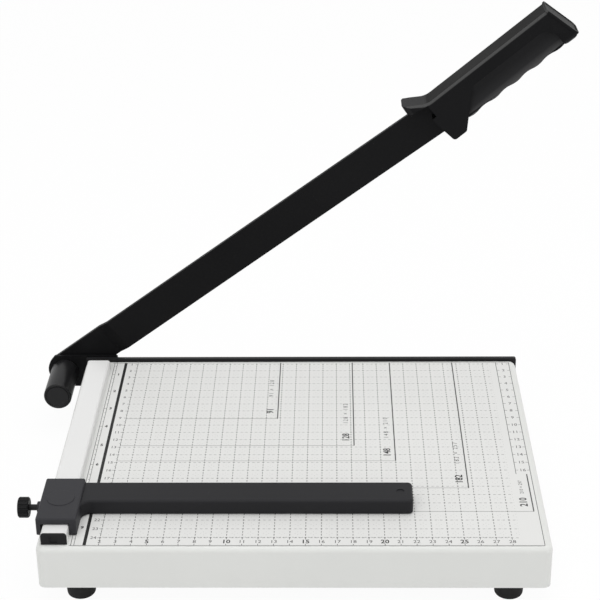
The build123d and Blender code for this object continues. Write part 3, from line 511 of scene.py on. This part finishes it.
def makeMarkTree():   # a field of equal marks: columns by rows, realized
    tree = bpy.data.node_groups.new("printMarks", "GeometryNodeTree")
    tree.interface.new_socket("Geometry", in_out="OUTPUT", socket_type="NodeSocketGeometry")
    for label, kind in (("Columns", "NodeSocketInt"), ("Rows", "NodeSocketInt"),
                        ("Column Pitch", "NodeSocketFloat"), ("Row Pitch", "NodeSocketFloat"),
                        ("Mark Width", "NodeSocketFloat"), ("Mark Length", "NodeSocketFloat"),
                        ("Start", "NodeSocketVector"), ("Ink", "NodeSocketMaterial")):
        tree.interface.new_socket(label, in_out="INPUT", socket_type=kind)
    source, result = tree.nodes.new("NodeGroupInput"), tree.nodes.new("NodeGroupOutput")
    mark = tree.nodes.new("GeometryNodeMeshGrid")
    mark.inputs["Vertices X"].default_value = 2
    mark.inputs["Vertices Y"].default_value = 2
    tree.links.new(source.outputs["Mark Width"], mark.inputs["Size X"])
    tree.links.new(source.outputs["Mark Length"], mark.inputs["Size Y"])
    current = mark.outputs["Mesh"]
    for count, pitch, axis in (("Columns", "Column Pitch", 0), ("Rows", "Row Pitch", 1)):
        line = tree.nodes.new("GeometryNodeMeshLine")
        step = tree.nodes.new("ShaderNodeCombineXYZ")
        tree.links.new(source.outputs[pitch], step.inputs[axis])
        tree.links.new(source.outputs[count], line.inputs["Count"])
        tree.links.new(step.outputs[0], line.inputs["Offset"])
        spread = tree.nodes.new("GeometryNodeInstanceOnPoints")
        tree.links.new(line.outputs["Mesh"], spread.inputs["Points"])
        tree.links.new(current, spread.inputs["Instance"])
        current = spread.outputs["Instances"]
    realize = tree.nodes.new("GeometryNodeRealizeInstances")
    tree.links.new(current, realize.inputs["Geometry"])
    move = tree.nodes.new("GeometryNodeTransform")
    tree.links.new(realize.outputs["Geometry"], move.inputs["Geometry"])
    tree.links.new(source.outputs["Start"], move.inputs["Translation"])
    paint = tree.nodes.new("GeometryNodeSetMaterial")
    tree.links.new(move.outputs["Geometry"], paint.inputs["Geometry"])
    tree.links.new(source.outputs["Ink"], paint.inputs["Material"])
    tree.links.new(paint.outputs["Geometry"], result.inputs["Geometry"])
    return tree


markTree = makeMarkTree()


def makeMarks(start, columns=1, rows=1, columnPitch=0.0, rowPitch=0.0, width=0.3, length=1.0, lift=None):
    # start is the middle of the mark nearest the fence and the knife; rows run towards the front
    lift = bedPrint["inkLift"] if lift is None else lift
    holder = addObject("marks", bpy.data.meshes.new("marks"))
    modifier = holder.modifiers.new("marks", "NODES")
    modifier.node_group = markTree
    ids = {item.name: item.identifier for item in markTree.interface.items_tree if item.in_out == "INPUT"}
    values = {"Columns": columns, "Rows": rows, "Column Pitch": columnPitch * mm, "Row Pitch": -rowPitch * mm,
              "Mark Width": width * mm, "Mark Length": length * mm,
              "Start": onBed(start[0], start[1], lift), "Ink": materials["ink"]}
    for label, value in values.items():
        modifier[ids[label]] = value
    holder.update_tag()
    bpy.context.view_layer.update()
    graph = bpy.context.evaluated_depsgraph_get()
    mesh = bpy.data.meshes.new_from_object(holder.evaluated_get(graph))
    bpy.data.objects.remove(holder)
    return mesh


def joinMeshes(name, meshes, finish, body="base"):
    whole = bmesh.new()
    for mesh in meshes:
        whole.from_mesh(mesh)
    joined = bpy.data.meshes.new(name)
    whole.to_mesh(joined)
    whole.free()
    joined.materials.clear()
    joined.materials.append(materials[finish])
    for polygon in joined.polygons:
        polygon.material_index = 0
    piece = addObject(name, joined)
    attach(piece, body)


def makeNumber(text, x, y, height, bold=False, turn=0.0, spread=1.0):
    curve = bpy.data.curves.new("number", "FONT")
    curve.body = text
    curve.size = height * mm * bedPrint["textScale"]
    curve.space_character = spread
    curve.align_x, curve.align_y = "CENTER", "CENTER"
    curve.resolution_u = 2
    curve.offset = bedPrint["boldOffset"] * mm if bold else 0.0
    holder = addObject("number", curve)
    bpy.context.view_layer.update()
    mesh = bpy.data.meshes.new_from_object(holder.evaluated_get(bpy.context.evaluated_depsgraph_get()))
    bpy.data.objects.remove(holder)
    mesh.transform(Matrix.Translation(onBed(x, y, bedPrint["inkLift"])) @ Matrix.Rotation(turn, 4, "Z"))
    return mesh


def makeFilm():
    margin = bedPrint["filmMargin"]
    left, right = bedPrint["filmLeft"], bedPrint["right"] + margin
    back, front = bedPrint["back"] - margin, bedPrint["front"] + margin
    radius, steps = bedPrint["filmCorner"], bedPrint["filmSteps"]
    ring = []
    for cx, cy, first in ((right - radius, back + radius, 0), (left + radius, back + radius, 90),
                          (left + radius, front - radius, 180), (right - radius, front - radius, 270)):
        for step in range(steps + 1):
            angle = math.radians(first + 90 * step / steps)
            x, y = cx + radius * math.cos(angle), cy - radius * math.sin(angle)
            ring.append(onBed(x, y, bedPrint["filmLift"]))
    return clearMesh("printFilm", ring, [list(range(len(ring)))])


p = bedPrint
joinMeshes("printFilm", [makeFilm()], "printFilm")
width, depth = p["right"], p["front"] - p["back"]
middleY = (p["front"] + p["back"]) / 2
line = p["frameLine"]
acrossX, acrossWidth = width / 2 + p["frameInset"] / 2, width - p["frameInset"]
frameMarks = [
    makeMarks((acrossX, p["back"]), width=acrossWidth, length=line),
    makeMarks((acrossX, p["front"]), width=acrossWidth, length=line),
    makeMarks((p["right"], middleY), width=line, length=depth),
    makeMarks((p["rightRuler"], (p["back"] + p["rightEnd"]) / 2), width=line,
              length=p["rightEnd"] - p["back"]),
    makeMarks((p["leftLine"], middleY), width=line, length=depth),
    makeMarks((p["rulerLeft"] - p["inchLine"], middleY), width=p["fineLine"], length=depth),
]
joinMeshes("printFrame", frameMarks, "ink")
dotsDown = int((p["gridFront"] - p["gridBack"]) / p["dotPitch"])
dotsAcross = int((p["rowRight"] - p["gridLeft"]) / p["dotPitch"])
columns = int((p["gridRight"] - p["gridLeft"]) / p["gridPitch"]) + 1
rows = int((p["gridFront"] - p["gridBack"]) / p["gridPitch"]) + 1
gridMarks = [
    makeMarks((p["gridLeft"], p["gridBack"]), columns, dotsDown, p["gridPitch"], p["dotPitch"],
              p["acrossLine"], p["dotLength"]),
    makeMarks((p["gridLeft"], p["gridBack"]), dotsAcross, rows, p["dotPitch"], p["gridPitch"],
              p["dotLength"], p["fineLine"]),
]
joinMeshes("printGrid", gridMarks, "gridInk")
halfPitch = p["gridPitch"] / 2
halfMarks = [
    makeMarks((p["gridLeft"] + halfPitch, p["gridBack"]), columns, dotsDown, p["gridPitch"], p["dotPitch"],
              p["subLine"], p["subDot"]),
    makeMarks((p["gridLeft"], p["gridBack"] + halfPitch), dotsAcross, rows - 1, p["dotPitch"], p["gridPitch"],
              p["subDot"], p["subLine"]),
]
joinMeshes("printHalfGrid", halfMarks, "faintInk")
heavyLine = makeMarks((p["heavyX"], middleY), width=p["heavyWidth"], length=depth)
joinMeshes("printHeavyLine", [heavyLine], "blackInk")
cm, inch, dash = p["gridPitch"], p["inch"], p["dashStep"]
short, middle, long = p["shortTick"], p["middleTick"], p["longTick"]
inchX = p["rulerLeft"] - p["inchLine"]
rowCount = p["lastNumber"] - p["firstNumber"] + 1
tickMarks = [
    makeMarks((p["rulerRight"], p["back"]), rows=int(depth / dash), rowPitch=dash, width=line,
              length=p["edgeDash"]),
    makeMarks((p["rulerRight"] - middle / 2, cm), rows=p["downLast"], rowPitch=cm, width=middle, length=line),
    makeMarks((p["rulerRight"] - short / 2, cm * 1.5), rows=p["downLast"] - 1, rowPitch=cm, width=short,
              length=p["fineLine"]),
    makeMarks((inchX - long / 2, inch), rows=p["inchLast"], rowPitch=inch, width=long, length=line),
    makeMarks((inchX - short / 2, inch / 4), rows=p["quarterLast"], rowPitch=inch / 4, width=short,
              length=p["fineLine"]),
    makeMarks((p["gridLeft"], p["rowLine"]), int((p["gridRight"] - p["gridLeft"]) / dash), columnPitch=dash,
              width=p["rowDash"], length=line),
    makeMarks((p["gridLeft"], p["rowLine"] + p["rowTick"] / 2), rowCount, columnPitch=cm, width=line,
              length=p["rowTick"]),
    makeMarks((p["gridLeft"], p["front"] - middle / 2), rowCount, columnPitch=cm, width=line, length=middle),
    makeMarks((p["rightRuler"] + long / 2, cm), rows=p["rightLast"], rowPitch=cm, width=long, length=line),
    makeMarks((p["right"] - long / 2, cm), rows=p["rightLast"], rowPitch=cm, width=long, length=line),
]
joinMeshes("printTicks", tickMarks, "ink")
cornerMarks = []
for across, down in p["sheets"]:
    low = p["back"] if across < p["rightRuler"] else p["rightEnd"]
    cornerMarks.append(makeMarks((across, (low + down) / 2), width=p["sheetLine"], length=down - low,
                                 lift=p["sheetLift"]))
    cornerMarks.append(makeMarks(((p["rulerRight"] + across) / 2, down), width=across - p["rulerRight"],
                                 length=p["fineLine"], lift=p["sheetLift"]))
joinMeshes("printSheetCorners", cornerMarks, "ink")
numbers, boldNumbers = [], []
small = p["numberHeight"] * p["smallShare"]
rowY = (p["rowLine"] + p["front"]) / 2 + p["rowNudge"]
for value in range(p["firstNumber"], p["lastNumber"] + 1):
    bold = value % p["boldEvery"] == 0
    (boldNumbers if bold else numbers).append(
        makeNumber(str(value), value * 10, rowY, p["boldHeight"] if bold else p["numberHeight"], bold))
downX = (p["heavyX"] + p["rulerRight"]) / 2 + p["downNudge"]
for value in range(1, p["downLast"] + 1):
    numbers.append(makeNumber(str(value), downX, value * 10, small))
for value in range(1, p["inchLast"] + 1):
    boldNumbers.append(makeNumber(str(value), p["rulerLeft"] - p["inchNumber"], value * inch, small, True))
for value in range(1, p["rightLast"] + 1):
    numbers.append(makeNumber(str(value), (p["rightRuler"] + p["right"]) / 2, value * 10, p["numberHeight"]))
quarterTurn = math.pi / 2
for across, down in p["sheets"]:   # the last sheet reaches past the right ruler, where there is less room
    labelX = across - p["labelInset"]
    boldNumbers.append(makeNumber(str(down), labelX, down - p["labelDrop"], p["labelHeight"], True,
                                  quarterTurn))
    label = p["lastLabel"] if across > p["rightRuler"] else p["sizeLabel"]
    numbers.append(makeNumber(f"{down} × {across}", labelX, down - label["drop"], label["height"],
                              turn=quarterTurn, spread=label["spread"]))
joinMeshes("printNumbers", numbers, "ink")
joinMeshes("printBoldNumbers", boldNumbers, "blackInk")
print("bed print done")

# Floor, light and camera
stageValues = {"floorSize": 14.0, "floorTone": 0.95, "floorRough": 0.9, "floorGlow": 0.95, "worldLight": 0.56}


def seenRays(tree):   # rays from the camera, off gloss and through clear pieces see the white background
    path = addNode(tree, "ShaderNodeLightPath")
    looks = addMath(tree, "MAXIMUM", path.outputs["Is Camera Ray"], path.outputs["Is Glossy Ray"])
    return addMath(tree, "MAXIMUM", looks, path.outputs["Is Transmission Ray"])


def makeFloor():
    half = stageValues["floorSize"] / 2
    corners = [(-half, -half, 0), (half, -half, 0), (half, half, 0), (-half, half, 0)]
    mesh = clearMesh("floor", corners, [(0, 1, 2, 3)])
    floor = addObject("floor", mesh)
    material = bpy.data.materials.new("paleFloor")
    material.use_nodes = True
    tree = material.node_tree
    shader = tree.nodes["Principled BSDF"]
    shader.inputs["Base Color"].default_value = (*[stageValues["floorTone"]] * 3, 1)
    shader.inputs["Roughness"].default_value = stageValues["floorRough"]
    shader.inputs["Specular IOR Level"].default_value = 0.0
    glow = addNode(tree, "ShaderNodeEmission")
    share = addMath(tree, "MULTIPLY", seenRays(tree), stageValues["floorGlow"])
    mix = addNode(tree, "ShaderNodeMixShader")
    tree.links.new(share, mix.inputs["Fac"])
    tree.links.new(shader.outputs[0], mix.inputs[1])
    tree.links.new(glow.outputs[0], mix.inputs[2])
    tree.links.new(mix.outputs[0], tree.nodes["Material Output"].inputs["Surface"])
    mesh.materials.append(material)


def makeWorld():
    world = bpy.data.worlds.new("studio")
    bpy.context.scene.world = world
    world.use_nodes = True
    tree = world.node_tree
    background = tree.nodes["Background"]
    light = stageValues["worldLight"]
    strength = addMath(tree, "ADD", addMath(tree, "MULTIPLY", seenRays(tree), 1.0 - light), light)
    background.inputs["Color"].default_value = (1, 1, 1, 1)
    tree.links.new(strength, background.inputs["Strength"])


lamps = {
    "topSoft": {"place": (0.1, -0.1, 1.9), "aim": (0.0, 0.0, 0.05), "size": (1.8, 1.4), "power": 16.0},
    "frontSoft": {"place": (-0.9, -1.8, 1.3), "aim": (0.0, 0.0, 0.1), "size": (1.3, 1.0), "power": 6.5},
    "rightSoft": {"place": (1.7, -0.5, 1.0), "aim": (0.05, 0.0, 0.1), "size": (0.9, 0.9), "power": 4.0},
}


def makeLamps():
    for name, values in lamps.items():
        lamp = bpy.data.lights.new(name, "AREA")
        lamp.shape = "RECTANGLE"
        lamp.size, lamp.size_y = values["size"]
        lamp.energy = values["power"]
        holder = addObject(name, lamp)
        holder.location = values["place"]
        direction = Vector(values["aim"]) - Vector(values["place"])
        holder.rotation_euler = direction.to_track_quat("-Z", "Y").to_euler()


cameraValues = {"place": (0.025585, -0.98972, 0.64155), "pitch": 26.18, "yaw": -1.286, "roll": -0.722,
                "lens": 99.948, "sensor": 36.0, "clip": (0.02, 60.0)}


def makeCamera():
    pitch, yaw, roll = (math.radians(cameraValues[key]) for key in ("pitch", "yaw", "roll"))
    forward = Vector((math.sin(yaw) * math.cos(pitch), math.cos(yaw) * math.cos(pitch), -math.sin(pitch)))
    right = Vector((math.cos(yaw), -math.sin(yaw), 0))
    up = right.cross(forward)
    across = right * math.cos(roll) + up * math.sin(roll)
    upright = up * math.cos(roll) - right * math.sin(roll)
    data = bpy.data.cameras.new("camera")
    data.lens = cameraValues["lens"]
    data.sensor_width = cameraValues["sensor"]
    data.clip_start, data.clip_end = cameraValues["clip"]
    camera = addObject("camera", data)
    turn = Matrix((across, upright, -forward)).transposed().to_4x4()
    camera.matrix_world = Matrix.Translation(cameraValues["place"]) @ turn
    bpy.context.scene.camera = camera


makeFloor()
makeWorld()
makeLamps()
makeCamera()
bpy.context.scene.view_settings.view_transform = "Standard"
print("stage done")
